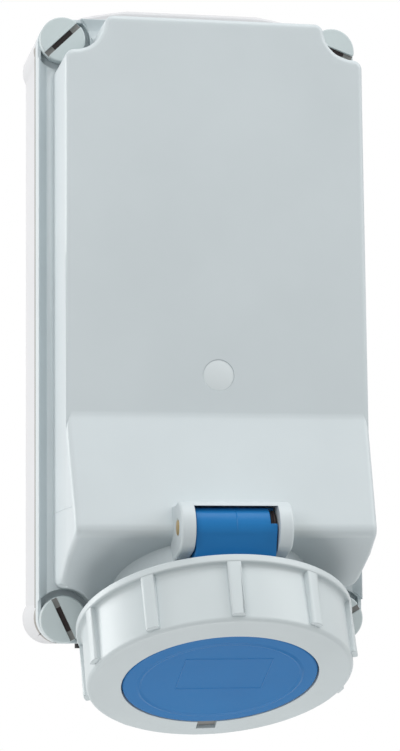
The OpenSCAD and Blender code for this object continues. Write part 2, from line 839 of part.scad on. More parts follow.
module lid_spring() {
    steps = 16;
    sides = 8;
    rings = spring_turns * steps;
    points = [
        for (i = [0 : rings], k = [0 : sides - 1])
        let (
            turn = 360 * i / steps,
            r = spring_r + spring_wire_d / 2 * cos(360 * k / sides),
            rise = spring_pitch * i / steps + spring_wire_d / 2 * sin(360 * k / sides)
        )
        [r * cos(turn), r * sin(turn), rise]
    ];
    walls = [
        for (i = [0 : rings - 1], k = [0 : sides - 1])
        let (a = i * sides + k, b = i * sides + (k + 1) % sides)
        each [[a, b, b + sides], [a, b + sides, a + sides]]
    ];
    ends = [[for (k = [sides - 1 : -1 : 0]) k], [for (k = [0 : sides - 1]) rings * sides + k]];
    start = arm_w / 2 - spring_pocket_len + spring_wire_d / 2 + 2 * move_gap;
    color("dimgray") at_socket() translate([start, hinge_reach, hinge_out]) rotate([0, 90, 0])
        polyhedron(points, concat(walls, ends));
}

// Lid: a disc and a raised boss, with a skirt at the hinge side that reaches back to the barrel
skirt_collar_gap = 2;
skirt_ring_gap = 1;
skirt_in = collar_d / 2 + skirt_collar_gap;
skirt_out = ring_bore / 2 - skirt_ring_gap;
skirt_lap = 1.5;
skirt_back = hinge_out + barrel_d / 2 - skirt_lap;
arm_ring_gap = 1;
arm_out = ring_out - arm_ring_gap;
arm_foot = 3.5;
// Angles on the barrel where the arm's front and back leave it
arm_front_at = 35;
arm_back_at = 200;

module arm_outline() {
    back_y = skirt_in + 2 * seat_gap;
    translate([hinge_reach, hinge_out]) circle(d = barrel_d);
    polygon([
        [hinge_reach, hinge_out] + barrel_d / 2 * [cos(arm_front_at), sin(arm_front_at)],
        [ring_bore / 2 + arm_ring_gap / 2, arm_out],
        [back_y, arm_out],
        [back_y, hinge_out + arm_foot],
        [hinge_reach, hinge_out] + barrel_d / 2 * [cos(arm_back_at), sin(arm_back_at)]
    ]);
}

boss_gap = 0.5;
boss_r = front_opening / 2 - boss_gap;

module lid_profile() {
    top = [boss_r - lid_slope_w, lid_face];
    polygon([
        [0, lid_back],
        [lid_d / 2, lid_back],
        [lid_d / 2, lid_front],
        [boss_r, lid_front],
        each corner_arc([boss_r, lid_front], [boss_r, lid_face - lid_slope_h], top, lid_edge_r),
        top,
        [0, lid_face]
    ]);
}

module lid() {
    color("steelblue") at_socket() difference() {
        union() {
            rotate_extrude() lid_profile();
            tube_sector(skirt_in, skirt_out, skirt_back, lid_front, hinge_at, 2 * skirt_angle);
            socket_across(arm_w) arm_outline();
        }
        socket_across(arm_w + 2 * eps) translate([hinge_reach, hinge_out]) circle(d = pin_d + 2 * turn_gap);
        translate([arm_w / 2 - spring_pocket_len, hinge_reach, hinge_out]) rotate([0, 90, 0])
            cylinder(r = spring_pocket_r, h = spring_pocket_len + eps);
        translate([arm_w / 2 - spring_window_w, hinge_reach, hinge_out]) rotate([0, 90, 0]) tube_sector(
            spring_r, barrel_d / 2 + eps, 0, spring_window_w + eps, spring_window_at, spring_window_angle
        );
    }
}

// The lid's seal covers the collar's mouth and laps past it
lid_seal_lap = 1.25;

module lid_gasket() {
    color([0.13, 0.13, 0.14]) at_socket()
        tube(collar_bore / 2 - lid_seal_lap, collar_d / 2 + lid_seal_lap, lid_seal_back, lid_back);
}

// Locking ring: a ribbed ring with a back rim, an open front, two bayonet ramps and three lid keepers
ring_in_r = ring_bore / 2;
ring_out_r = ring_in_r + ring_wall;
rim_r = ring_out_r + rib_h;
rib_r = rim_r - move_gap;
rib_angle = 2 * asin(rib_w / 2 / ring_out_r);
rib_at = hinge_at + rib_start;
// Roundings of the back rim's edges and of its root on the ring's wall
rim_edge_r = min(0.35 * rib_h, 0.4 * rim_t);
rim_root_r = 0.6 * rib_h;
// Mark in the front ledge, opposite the first rib
ring_notch_w = 8;
ring_notch_len = 6.3;
ring_notch_depth = front_t * 2 / 3;

module ring_profile() {
    front = ring_front;
    rim_front = ring_out + rim_t;
    polygon([
        [ring_in_r, ring_out],
        each corner_arc([ring_in_r, ring_out], [rim_r, ring_out], [rim_r, rim_front], rim_edge_r),
        each corner_arc([rim_r, ring_out], [rim_r, rim_front], [ring_out_r, rim_front], rim_edge_r),
        each arc([ring_out_r + rim_root_r, rim_front + rim_root_r], rim_root_r, 270, -90),
        each corner_arc([ring_out_r, ring_out], [ring_out_r, front], [0, front], ring_edge_r),
        [front_opening / 2, front],
        [front_opening / 2, front - front_t],
        [ring_in_r, front - front_t]
    ]);
}

module locking_ring() {
    ramp_front = lug_out - move_gap;
    keeper_front = lid_back - move_gap;
    color("whitesmoke") at_socket() difference() {
        union() {
            rotate_extrude() ring_profile();
            for (i = [0 : rib_count - 1]) {
                at = rib_at - 360 * i / rib_count;
                tube_sector(ring_out_r - eps, rib_r, ring_out + eps, ring_front - ring_edge_r, at, rib_angle);
            }
            for (at = lugs_at) {
                tube_sector(
                    ramp_reach, ring_in_r + eps, ramp_front - ramp_t, ramp_front, at + lock_angle, lug_angle
                );
            }
            for (at = keepers_at) {
                tube_sector(
                    keeper_reach, ring_in_r + eps, keeper_front - keeper_t, keeper_front, at, keeper_angle
                );
            }
        }
        rotate(rib_at - 180)
            translate([front_opening / 2 - eps, -ring_notch_w / 2, ring_front - ring_notch_depth])
                cube([ring_notch_len + eps, ring_notch_w, ring_notch_depth + eps]);
    }
}

rear_housing();
front_hood();
housing_gasket();
cover_screws();
cover_screw_seals();
pillar_inserts();
drain_plug();
contact_carrier();
carrier_gasket();
carrier_screws();
line_contact();
neutral_contact();
earth_contact();
pilot_contact();
terminal_screws();
hinge_pin();
lid_spring();
lid();
lid_gasket();
locking_ring();
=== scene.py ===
"""Looks of a wall-mounted pin and sleeve socket outlet: grey enclosure, blue lid, grey ring."""

import math

import bmesh
import bpy
from mathutils import Matrix, Vector


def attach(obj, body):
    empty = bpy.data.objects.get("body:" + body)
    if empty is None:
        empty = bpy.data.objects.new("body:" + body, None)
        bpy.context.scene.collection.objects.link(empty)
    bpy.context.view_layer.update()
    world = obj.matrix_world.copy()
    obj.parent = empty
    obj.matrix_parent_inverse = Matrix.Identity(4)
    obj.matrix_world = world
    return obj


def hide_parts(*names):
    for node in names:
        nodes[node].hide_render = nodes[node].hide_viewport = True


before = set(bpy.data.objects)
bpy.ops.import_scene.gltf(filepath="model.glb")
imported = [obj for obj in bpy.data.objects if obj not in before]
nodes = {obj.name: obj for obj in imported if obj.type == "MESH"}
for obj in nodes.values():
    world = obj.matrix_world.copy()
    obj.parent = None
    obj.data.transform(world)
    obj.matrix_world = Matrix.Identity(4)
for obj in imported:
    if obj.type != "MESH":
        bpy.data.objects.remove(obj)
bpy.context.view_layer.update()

MM = 0.001
X_DIR = Vector((1, 0, 0))

# Places and sizes of the CAD model in millimetres: x to the right, forward from the wall, z up
SCREW_X, SCREW_Z = 59.2, 123
HEAD_R, HEAD_H = 9.75, 4.5
SLOT_W, SLOT_DEPTH = 2.4, 1.6
SLOT_ANGLES = {(-1, 1): 44, (1, 1): -20, (-1, -1): -65, (1, -1): 30}
BASE_X, BASE_Z, BASE_FRONT, WALL_HOLE_X = 68, 131.5, 46, 50
ENTRY_FORWARD = 23
JOINT_BACK, JOINT_FRONT = 41, 42
FLANGE_X, FLANGE_Z, FLANGE_MIDDLE, FLANGE_FRONT = 69.5, 133, 50, 55
HOOD_X, HOOD_TOP, TOP_EDGE_R = 63, 125, 4
PANEL_FORWARD, NOSE_FORWARD, NOSE_INSET, CREASE_Z = 95, 113.4, 1.6, -41
MARK_Z, MARK_R, MARK_DEPTH = -24.4, 6.5, 0.4

# Sizes in the socket frame: along towards the hinge, out along the axis
POCKET_X, ARM_X, SPRING_WINDOW_W = 16.9, 16.25, 2.7
BARREL_R, BARREL_ALONG, BARREL_OUT, EAR_R = 8, 51.9, 1.5, 10.3
RING_FRONT, OPENING_R = 43.5, 40.2
NOTCH_ANGLE, NOTCH_W, NOTCH_LEN, NOTCH_DEPTH = 272.4, 8, 6.3, 1.67
LID_FACE, LID_SLOPE_H, PLATEAU_R = 42.8, 0.71, 33.1

# Socket frame: its axis, the direction to the hinge, and where the axis meets the slanted face
SOCKET_TILT = math.radians(26)
AXIS = Vector((0, -math.sin(SOCKET_TILT), -math.cos(SOCKET_TILT)))
TO_HINGE = Vector((0, -math.cos(SOCKET_TILT), math.sin(SOCKET_TILT)))
SOCKET = Vector((0, -73.628, -109.398)) * MM


def socket_point(x, along, out):
    """A point of the socket frame, given in millimetres, in the row frame in metres."""
    return SOCKET + (X_DIR * x + TO_HINGE * along + AXIS * out) * MM


def socket_place(at):
    """How far a point in millimetres lies towards the hinge and out along the socket's axis."""
    arm = Vector(at) - SOCKET / MM
    return arm.dot(TO_HINGE), arm.dot(AXIS)


def barrel_point(x, r, t):
    """A point at a radius and an angle about the axis of the hinge barrel."""
    return socket_point(x, BARREL_ALONG + r * math.cos(t), BARREL_OUT + r * math.sin(t))


def from_screw(at):
    """Distance of a point in millimetres from the nearest cover screw's axis."""
    return math.hypot(abs(at.x) - SCREW_X, abs(at.z) - SCREW_Z)


def round_angles(count):
    """Evenly spaced angles of a full turn."""
    return [2 * math.pi * k / count for k in range(count)]


# Materials

DRIFT_SCALE, DRIFT_STOPS = 18, (0.32, 0.68)
SMEAR_SCALE, GLOSS_SPAN = 72, 0.08
RELIEF_DEPTH = 0.0001
WHITE = (1, 1, 1, 1)


class Nodes:
    """Builds the node tree of a material or a world."""

    def __init__(self, owner):
        owner.use_nodes = True
        self.tree = owner.node_tree
        self.tree.nodes.clear()

    def add(self, kind, **settings):
        node = self.tree.nodes.new(kind)
        for key, value in settings.items():
            if hasattr(node, key):
                setattr(node, key, value)
            else:
                node.inputs[key.replace("_", " ")].default_value = value
        return node

    def link(self, source, target):
        self.tree.links.new(source, target)


def linear(r, g, b):
    """Linear colour of an sRGB colour from 0 to 255."""
    out = []
    for c in (r, g, b):
        c /= 255
        out.append(c / 12.92 if c <= 0.04045 else ((c + 0.055) / 1.055) ** 2.4)
    return (*out, 1)


def painted_joint_shadow(m, coords, colour, step_shadow):
    """Painted shadow: blends a colour over to the painted shade of the flange's step at the front
    edge of the base, below its entry pad.
    """
    place = m.add("ShaderNodeSeparateXYZ")
    m.link(coords, place.inputs["Vector"])
    near = m.add("ShaderNodeMapRange", From_Min=-JOINT_BACK * MM, From_Max=-JOINT_FRONT * MM)
    m.link(place.outputs["Y"], near.inputs["Value"])
    below_pad = m.add("ShaderNodeMapRange", From_Min=SCREW_Z * MM, From_Max=(SCREW_Z - 1) * MM)
    m.link(place.outputs["Z"], below_pad.inputs["Value"])
    both = m.add("ShaderNodeMath", operation="MULTIPLY")
    m.link(near.outputs["Result"], both.inputs[0])
    m.link(below_pad.outputs["Result"], both.inputs[1])
    blend = m.add("ShaderNodeMix", data_type="RGBA")
    blend.inputs["B"].default_value = step_shadow
    m.link(both.outputs["Value"], blend.inputs["Factor"])
    m.link(colour, blend.inputs["A"])
    return blend.outputs["Result"]


def moulded(name, light, dark, rough, grain=2600, bump=0.12, metal=0.0, ior=1.5, step_shadow=None):
    """A moulded or machined surface: slow colour drift, fine grain in the relief, uneven gloss."""
    material = bpy.data.materials.new(name)
    m = Nodes(material)
    coords = m.add("ShaderNodeTexCoord").outputs["Object"]
    drift = m.add("ShaderNodeTexNoise", Scale=DRIFT_SCALE, Detail=4.0, Roughness=0.55)
    m.link(coords, drift.inputs["Vector"])
    ramp = m.add("ShaderNodeValToRGB")
    for stop, place, tone in zip(ramp.color_ramp.elements, DRIFT_STOPS, (dark, light)):
        stop.position = place
        stop.color = tone
    m.link(drift.outputs["Fac"], ramp.inputs["Fac"])
    fine = m.add("ShaderNodeTexNoise", Scale=grain, Detail=2.0, Roughness=0.5)
    m.link(coords, fine.inputs["Vector"])
    relief = m.add("ShaderNodeBump", Strength=bump, Distance=RELIEF_DEPTH)
    m.link(fine.outputs["Fac"], relief.inputs["Height"])
    smear = m.add("ShaderNodeTexNoise", Scale=SMEAR_SCALE, Detail=5.0, Roughness=0.6)
    m.link(coords, smear.inputs["Vector"])
    gloss = m.add("ShaderNodeMapRange", To_Min=rough - GLOSS_SPAN, To_Max=rough + GLOSS_SPAN)
    m.link(smear.outputs["Fac"], gloss.inputs["Value"])
    colour = ramp.outputs["Color"]
    # Optional painted shadow of the flange's step at the base's front edge
    if step_shadow:
        colour = painted_joint_shadow(m, coords, colour, step_shadow)
    shader = m.add("ShaderNodeBsdfPrincipled", Metallic=metal, IOR=ior)
    m.link(colour, shader.inputs["Base Color"])
    m.link(gloss.outputs["Result"], shader.inputs["Roughness"])
    m.link(relief.outputs["Normal"], shader.inputs["Normal"])
    out = m.add("ShaderNodeOutputMaterial")
    m.link(shader.outputs["BSDF"], out.inputs["Surface"])
    return material


# Painted shadow of the flange's step, cast on the base's sides just behind the flange
JOINT_SHADOW = linear(138, 134, 128)
BASE_GREY = moulded("base_grey", linear(216, 216, 218), linear(211, 212, 214), 0.42, step_shadow=JOINT_SHADOW)
HOOD_GREY = moulded("hood_grey", linear(207, 216, 219), linear(203, 212, 215), 0.42)
RING_GREY = moulded("ring_grey", linear(205, 214, 216), linear(200, 209, 211), 0.40)
SCREW_GREY = moulded("screw_grey", linear(200, 211, 212), linear(192, 203, 204), 0.40)
LID_BLUE = moulded("lid_blue", linear(26, 116, 180), linear(20, 110, 174), 0.38, ior=1.35)
CARRIER_GREY = moulded("carrier_grey", linear(120, 126, 132), linear(105, 112, 118), 0.5)
RUBBER = moulded("seal_rubber", linear(38, 38, 40), linear(26, 26, 28), 0.7, bump=0.3)
BRASS = moulded("brass", linear(214, 178, 104), linear(188, 150, 80), 0.32, grain=1200, metal=1.0)
# Painted shade for dark hollows: the deep middle of the screw slots and the spring window
SHADE = moulded("slot_shade", linear(44, 32, 32), linear(30, 22, 22), 0.75, bump=0.3)
# Painted shade of shallow recesses: the ring's notch floor and the screw slots' floors
RECESS_SHADE_GREY = moulded("recess_shade_grey", linear(134, 134, 132), linear(120, 120, 118), 0.6)
# Painted shade of the seam between base and hood, on the seal's edge
SEAM_SHADE_GREY = moulded("seam_shade_grey", linear(140, 136, 130), linear(130, 126, 120), 0.7, bump=0.3)
MARK_GREY = moulded("mark_grey", linear(220, 228, 230), linear(216, 224, 226), 0.42)
STEEL = moulded("steel", linear(190, 192, 194), linear(160, 163, 167), 0.34, grain=1200, metal=1.0)

FINISH = {
    "rear_housing": BASE_GREY,
    "front_hood": HOOD_GREY,
    "housing_gasket": RUBBER,
    "cover_screws": SCREW_GREY,
    "cover_screw_seals": RUBBER,
    "pillar_inserts": BRASS,
    "drain_plug": RUBBER,
    "contact_carrier": CARRIER_GREY,
    "carrier_gasket": RUBBER,
    "carrier_screws": STEEL,
    "line_contact": BRASS,
    "neutral_contact": BRASS,
    "earth_contact": BRASS,
    "pilot_contact": BRASS,
    "terminal_screws": STEEL,
    "hinge_pin": BRASS,
    "lid_spring": STEEL,
    "lid": LID_BLUE,
    "lid_gasket": RUBBER,
    "locking_ring": RING_GREY,
}
for node_name, finish in FINISH.items():
    nodes[node_name].data.materials.clear()
    nodes[node_name].data.materials.append(finish)


# Rounded shells: copies of CAD nodes whose edges get radii

WIDEST, GRID_OFFSET = 4.0, 0.13
WELD, DEGENERATE = 2e-6, 1e-6
FLAT_ANGLE, SHARP_ANGLE, INNER_TURN, OUTER_TURN = 0.4, 38, -18, 30


def add_object(name, data):
    obj = bpy.data.objects.new(name, data)
    bpy.context.scene.collection.objects.link(obj)
    return obj


def apply_modifiers(obj):
    graph = bpy.context.evaluated_depsgraph_get()
    baked = bpy.data.meshes.new_from_object(obj.evaluated_get(graph))
    obj.modifiers.clear()
    obj.data = baked


def cut(b, point, normal):
    """Splits all the faces of a bmesh along a plane and returns the new edges."""
    everything = b.verts[:] + b.edges[:] + b.faces[:]
    made = bmesh.ops.bisect_plane(
        b, geom=everything, dist=DEGENERATE, plane_co=point, plane_no=normal
    )
    return [part for part in made["geom_cut"] if isinstance(part, bmesh.types.BMEdge)]


def merge_flat(b, seams):
    """Merges flat faces. Seams at some x, in millimetres, first split the faces with holes."""
    for x in seams:
        for edge in cut(b, Vector((x * MM, 0, 0)), X_DIR):
            edge.seam = True
    bmesh.ops.dissolve_limit(
        b,
        angle_limit=math.radians(FLAT_ANGLE),
        use_dissolve_boundaries=False,
        verts=b.verts,
        edges=b.edges,
        delimit={"SEAM"},
    )


def grid_cut(b, cell):
    """Cuts large faces along a grid, so that they stay flat up to their rounded edges."""
    for axis in range(3):
        normal = Vector([float(axis == i) for i in range(3)])
        low = min(v.co[axis] for v in b.verts)
        high = max(v.co[axis] for v in b.verts)
        for i in range(1, int((high - low) / cell) + 1):
            cut(b, normal * (low + i * cell + GRID_OFFSET * MM), normal)


def smooth_between_edges(b):
    """Smooth shading everywhere, apart from sharp edges."""
    for face in b.faces:
        face.smooth = True
    sharp = math.radians(SHARP_ANGLE)
    for edge in b.edges:
        edge.smooth = len(edge.link_faces) == 2 and edge.calc_face_angle(0) < sharp


def weigh_edges(b, radius_of):
    """Gives each edge the bevel weight of its radius, apart from the facets of round walls."""
    weights = b.edges.layers.float
    layer = weights.get("bevel_weight_edge") or weights.new("bevel_weight_edge")
    for edge in b.edges:
        edge[layer] = 0
        if len(edge.link_faces) != 2:
            continue
        turn = math.degrees(edge.calc_face_angle_signed(0))
        if INNER_TURN < turn < OUTER_TURN:
            continue
        start, end = (v.co / MM for v in edge.verts)
        edge[layer] = radius_of((start + end) / 2, (end - start).normalized(), turn) / WIDEST


def weighed_copy(node, name, radius_of, prepare, seams):
    """A copy of a CAD node's mesh with merged flat faces and a bevel weight on each edge."""
    mesh = nodes[node].data.copy()
    mesh.name = name
    b = bmesh.new()
    b.from_mesh(mesh)
    bmesh.ops.remove_doubles(b, verts=b.verts, dist=WELD)
    bmesh.ops.dissolve_degenerate(b, edges=b.edges, dist=DEGENERATE)
    if prepare:
        prepare(b)
    merge_flat(b, seams)
    b.normal_update()
    weigh_edges(b, radius_of)
    b.to_mesh(mesh)
    b.free()
    return mesh


def bevel_edges(obj, segments):
    bevel = obj.modifiers.new("edges", "BEVEL")
    bevel.limit_method = "WEIGHT"
    bevel.offset_type = "OFFSET"
    bevel.width = WIDEST * MM
    bevel.segments = segments
    bevel.use_clamp_overlap = False
    bevel.miter_outer = "MITER_SHARP"
    apply_modifiers(obj)


def shade(obj, cell):
    """Smooth shading that follows the large faces, which a grid of cells may cut."""
    b = bmesh.new()
    b.from_mesh(obj.data)
    if cell:
        grid_cut(b, cell * MM)
    b.normal_update()
    smooth_between_edges(b)
    b.to_mesh(obj.data)
    b.free()
    weighted = obj.modifiers.new("normals", "WEIGHTED_NORMAL")
    weighted.mode = "FACE_AREA"
    weighted.weight = 80
    weighted.keep_sharp = True
    apply_modifiers(obj)


def rounded(node, name, body, radius_of, segments=3, cell=0, prepare=None, seams=(0,)):
    """A copy of a CAD node with rounded edges, which replaces it.

    radius_of gives the radius of an edge in millimetres, or 0, from its middle, its direction
    and the angle by which its faces turn, which is negative in an inner corner."""
    obj = add_object(name, weighed_copy(node, name, radius_of, prepare, seams))
    bevel_edges(obj, segments)
    shade(obj, cell)
    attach(obj, body)
    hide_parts(node)


# Radii of the rounded edges, and the zones that tell the edges of a node apart. An outline is
# given as a share of the half size, and STRAIGHT as the cosine of the angle to a direction
CLOSE, NEAR, BEYOND, STRAIGHT = 0.1, 0.2, 0.5, 0.98
CORNER_ROUND, FLANGE_ROUND, FLANGE_BACK_ROUND, FOOT_ROUND = 0.3, 0.8, 0.4, 2.2
CORNER_ZONE, FLANGE_OUTLINE, FOOT_LOW = 13.5, 0.97, -100
POCKET_ROUND, EAR_ROUND, COLLAR_ROUND = 0.3, 1.0, 0.4
BRACKET_X, BRACKET_ALONG, BRACKET_FORWARD = 24, 42, 104
COLLAR_ZONE, COLLAR_TOP = 47, -95
CREASE_ROUND, MARK_ROUND, HOOD_ROUND = 1.5, 0.15, 2.2
FLANGE_ZONE, MARK_ZONE, INNER_X, INNER_TOP = 5, 8, 57, 108
ENTRY_ROUND, BACK_ROUND, BASE_ROUND = 0.5, 1.5, 0.5
TRAY_X, TRAY_Z, ENTRY_ZONE, BASE_OUTLINE = 60, 125, 16, 0.985
HEAD_ROUND, SLOT_ROUND, HEAD_EDGE_R = 0.7, 0.15, 9.2
RIB_ROUND, RIM_ROUND, OPENING_ROUND = 1.3, 0.4, 0.3
RIB_ZONE, OPENING_OUT, OPENING_ZONE = 54, 40, 47
ARM_ROUND, ARM_ALONG, ARM_SIDE = 0.4, 50, 12


def flange_radius(at, turn):
    forward = -at.y
    if from_screw(at) < CORNER_ZONE:
        front = forward > FLANGE_MIDDLE and from_screw(at) > HEAD_R
        return CORNER_ROUND if turn > 0 and front else 0
    if turn > 0:
        if max(abs(at.x) / FLANGE_X, abs(at.z) / FLANGE_Z) <= FLANGE_OUTLINE:
            return 0
        return FLANGE_ROUND if forward > FLANGE_FRONT - NEAR else FLANGE_BACK_ROUND
    foot = abs(forward - FLANGE_FRONT) < NEAR and abs(at.x) < HOOD_X + 1 and at.z > FOOT_LOW
    return FOOT_ROUND if foot else 0


def hood_radius(at, along_edge, turn):
    x, forward, z = abs(at.x), -at.y, at.z
    along, out = socket_place(at)
    if x < BRACKET_X and along > BRACKET_ALONG and forward > BRACKET_FORWARD:
        return 0 if turn < 0 else POCKET_ROUND if x < POCKET_X else EAR_ROUND
    if out > BEYOND and math.hypot(x, along) < COLLAR_ZONE and z < COLLAR_TOP:
        return COLLAR_ROUND if turn > 0 else 0
    if forward < FLANGE_FRONT + FLANGE_ZONE:
        return flange_radius(at, turn)
    if turn < 0:
        crease = abs(z - CREASE_Z) < 1 and forward > PANEL_FORWARD - 1
        return CREASE_ROUND if crease else 0
    if math.hypot(x, z - MARK_Z) < MARK_ZONE:
        return MARK_ROUND
    inside = x < INNER_X and z < INNER_TOP and forward < PANEL_FORWARD - 1
    return 0 if inside or abs(along_edge.y) > STRAIGHT else HOOD_ROUND


def base_radius(at, along_edge, turn):
    x, forward, z = abs(at.x), -at.y, at.z
    if turn < 0 or (x < TRAY_X and abs(z) < TRAY_Z):
        return 0
    if z > FLANGE_Z + BEYOND:
        entry = math.hypot(x, forward - ENTRY_FORWARD) < ENTRY_ZONE
        return ENTRY_ROUND if entry else BACK_ROUND
    if forward < CLOSE:
        return BACK_ROUND
    outline = max(x / BASE_X, abs(z) / BASE_Z) > BASE_OUTLINE
    return BASE_ROUND if outline and forward > BASE_FRONT - CLOSE else 0


def screw_radius(at, along_edge, turn):
    if turn < 0 or -at.y < FLANGE_FRONT + BEYOND:
        return 0
    return HEAD_ROUND if from_screw(at) > HEAD_EDGE_R else SLOT_ROUND


def ring_radius(at, along_edge, turn):
    along, out = socket_place(at)
    reach = math.hypot(at.x, along)
    if turn < 0:
        return 0
    if reach > RIB_ZONE:
        return RIB_ROUND if abs(along_edge.dot(AXIS)) > STRAIGHT else RIM_ROUND
    return OPENING_ROUND if out > OPENING_OUT and reach < OPENING_ZONE else 0


def lid_radius(at, along_edge, turn):
    arm = socket_place(at)[0] > ARM_ALONG and abs(at.x) > ARM_SIDE
    return ARM_ROUND if turn > 0 and arm else 0


def square_top(b):
    """Moves the hood's rounded top edge out to its corner, so that one rounding runs round it."""
    before_arc, off_arc = 0.01, 0.05
    for vert in b.verts:
        forward = -vert.co.y / MM - PANEL_FORWARD + TOP_EDGE_R
        up = vert.co.z / MM - HOOD_TOP + TOP_EDGE_R
        on_arc = abs(math.hypot(forward, up) - TOP_EDGE_R) < off_arc
        if on_arc and min(forward, up) > -before_arc:
            vert.co.y = -PANEL_FORWARD * MM


# Lid's face in the scene: its level, how much deeper it lies at the hinge, the share of its
# slope's height that is left, and how far below the face a point may lie to move with it
LID_PROUD, LID_LEAN, LID_FLATTEN, LID_DEEPEST = 43.4, 0.2, 0.15, 2


def lid_level(along):
    """How far out the lid's face lies. It leans a little, deeper in the ring at the hinge."""
    return LID_PROUD - LID_LEAN * along / OPENING_R


def lift_lid_face(b):
    """Brings the lid's face nearer to the ring's front and flattens its outer slope."""
    for vert in b.verts:
        along, out = socket_place(vert.co / MM)
        if out > LID_FACE - LID_DEEPEST and math.hypot(vert.co.x / MM, along) < OPENING_R:
            drop = LID_FACE - out
            slope = min(drop, LID_SLOPE_H)
            vert.co += AXIS * (lid_level(along) - slope * LID_FLATTEN - drop + slope - out) * MM


rounded(
    "front_hood", "hood_shell", "housing", hood_radius,
    segments=4, cell=7, prepare=square_top,
)
rounded(
    "rear_housing", "base_shell", "housing", base_radius,
    cell=16, seams=(-WALL_HOLE_X, 0, WALL_HOLE_X),
)
rounded("cover_screws", "screw_heads", "housing", screw_radius)
rounded("locking_ring", "ring_shell", "ring", ring_radius)
rounded("lid", "lid_shell", "lid", lid_radius, prepare=lift_lid_face)


# Small pieces

RIDGE_SINK = 0.1
BEAD_W, BEAD_H = 2.4, 0.38
LABEL_X, LABEL_ALONG, LABEL_LINE_W, LABEL_LINE_H = (-17.5, 18), (-7, 20), 1.0, 0.2
ARM_LINE_W, ARM_LINE_H = 0.8, 0.18
WITNESS_Z, WITNESS_W, WITNESS_H = -79, 0.9, 0.22
LIP_R, STRIP_Z = 8.7, 118


def skin(rows, ring):
    """Faces through rows of points, each row a closed loop. Rows that form no ring get caps."""
    size, count = len(rows[0]), len(rows)
    faces = []
    for i in range(count if ring else count - 1):
        j = (i + 1) % count
        for k in range(size):
            m = (k + 1) % size
            faces.append((i * size + k, i * size + m, j * size + m, j * size + k))
    if not ring:
        faces += [tuple(range(size)), tuple(range((count - 1) * size, count * size))]
    return faces


def piece(name, skins, material, body):
    """One piece of closed skins, each given as rows of points and whether the rows form a ring."""
    mesh = bpy.data.meshes.new(name)
    points, faces = [], []
    for rows, ring in skins:
        faces += [tuple(len(points) + i for i in face) for face in skin(rows, ring)]
        points += [point for row in rows for point in row]
    mesh.from_pydata(points, [], faces)
    b = bmesh.new()
    b.from_mesh(mesh)
    bmesh.ops.recalc_face_normals(b, faces=b.faces)
    smooth_between_edges(b)
    b.to_mesh(mesh)
    b.free()
    mesh.materials.append(material)
    obj = add_object(name, mesh)
    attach(obj, body)


def ridge_row(point, side, proud, width, height):
    """Section of a low ridge: two feet, sunk a little, and the crest."""
    foot = point - proud * RIDGE_SINK * MM
    half = side * width / 2 * MM
    return [foot - half, point + proud * height * MM, foot + half]


def slot_floor(name, reach, rise, material):
    """A trough on the floor of each screw slot, over part of the slot's length, in a dark colour
    as painted shade of the slot.
    """
    half_len, half_w = HEAD_R * reach, SLOT_W / 2
    top = FLANGE_FRONT + HEAD_H - SLOT_DEPTH + rise
    bottom, dished = top - SLOT_DEPTH, top - 0.05
    section = ((-half_w, bottom), (half_w, bottom), (half_w, top), (0, dished), (-half_w, top))
    skins = []
    for (side, up), angle in SLOT_ANGLES.items():
        turn = Matrix.Rotation(math.radians(-angle), 3, "Y")
        middle = Vector((side * SCREW_X, 0, up * SCREW_Z))
        rows = [
            [(middle + turn @ Vector((end, -forward, w))) * MM for w, forward in section]
            for end in (-half_len, half_len)
        ]
        skins.append((rows, False))
    piece(name, skins, material, "housing")


def spring_coils():
    """The coils of the lid spring in the window at the right end of the hinge barrel, coloured
    with painted shade for the window's shadow.
    """
    coils, steps, around = 2, 6, 32
    core, bulge, gap = BARREL_R - 1.8, 0.7, 0.1
    length = SPRING_WINDOW_W - 2 * gap
    rows = []
    for i in range(coils * steps + 1):
        r = core + bulge * abs(math.sin(math.pi * i / steps))
        x = ARM_X - gap - length * i / (coils * steps)
        rows.append([barrel_point(x, r, t) for t in round_angles(around)])
    piece("spring_coils", [(rows, False)], SHADE, "lid")


def web_lip():
    """Lip of the bracket above the hinge barrel. It follows the ears and ends in a thin edge."""
    # Radius and angle about the barrel, along the ears to the thin edge and back
    outline = [(EAR_R - 0.05, -50)] + [(EAR_R + 0.02, angle) for angle in range(-47, -28, 3)]
    outline += [(EAR_R - 0.25, -31), (EAR_R - 0.55, -33.5), (LIP_R, -53)]
    rows = [
        [barrel_point(x, r, math.radians(angle)) for r, angle in outline]
        for x in (-POCKET_X, POCKET_X)
    ]
    piece("web_lip", [(rows, False)], HOOD_GREY, "housing")


def notch_floor():
    """Floor of the notch in the ring's front, dished along its middle, darker grey as painted
    shade of the recess.
    """
    t = math.radians(NOTCH_ANGLE)
    away, across = (math.cos(t), math.sin(t)), (-math.sin(t), math.cos(t))
    half_w, foot, edge, middle = 0.49 * NOTCH_W, -0.05, 0.12, 0.06
    section = ((-half_w, foot), (-half_w, edge), (0, middle), (half_w, edge), (half_w, foot))
    rows = []
    for r in (OPENING_R, OPENING_R + NOTCH_LEN - 0.1):
        row = []
        for w, rise in section:
            x, along = (away[i] * r + across[i] * w for i in (0, 1))
            row.append(socket_point(x, along, RING_FRONT - NOTCH_DEPTH + rise))
        rows.append(row)
    piece("notch_floor", [(rows, False)], RECESS_SHADE_GREY, "ring")


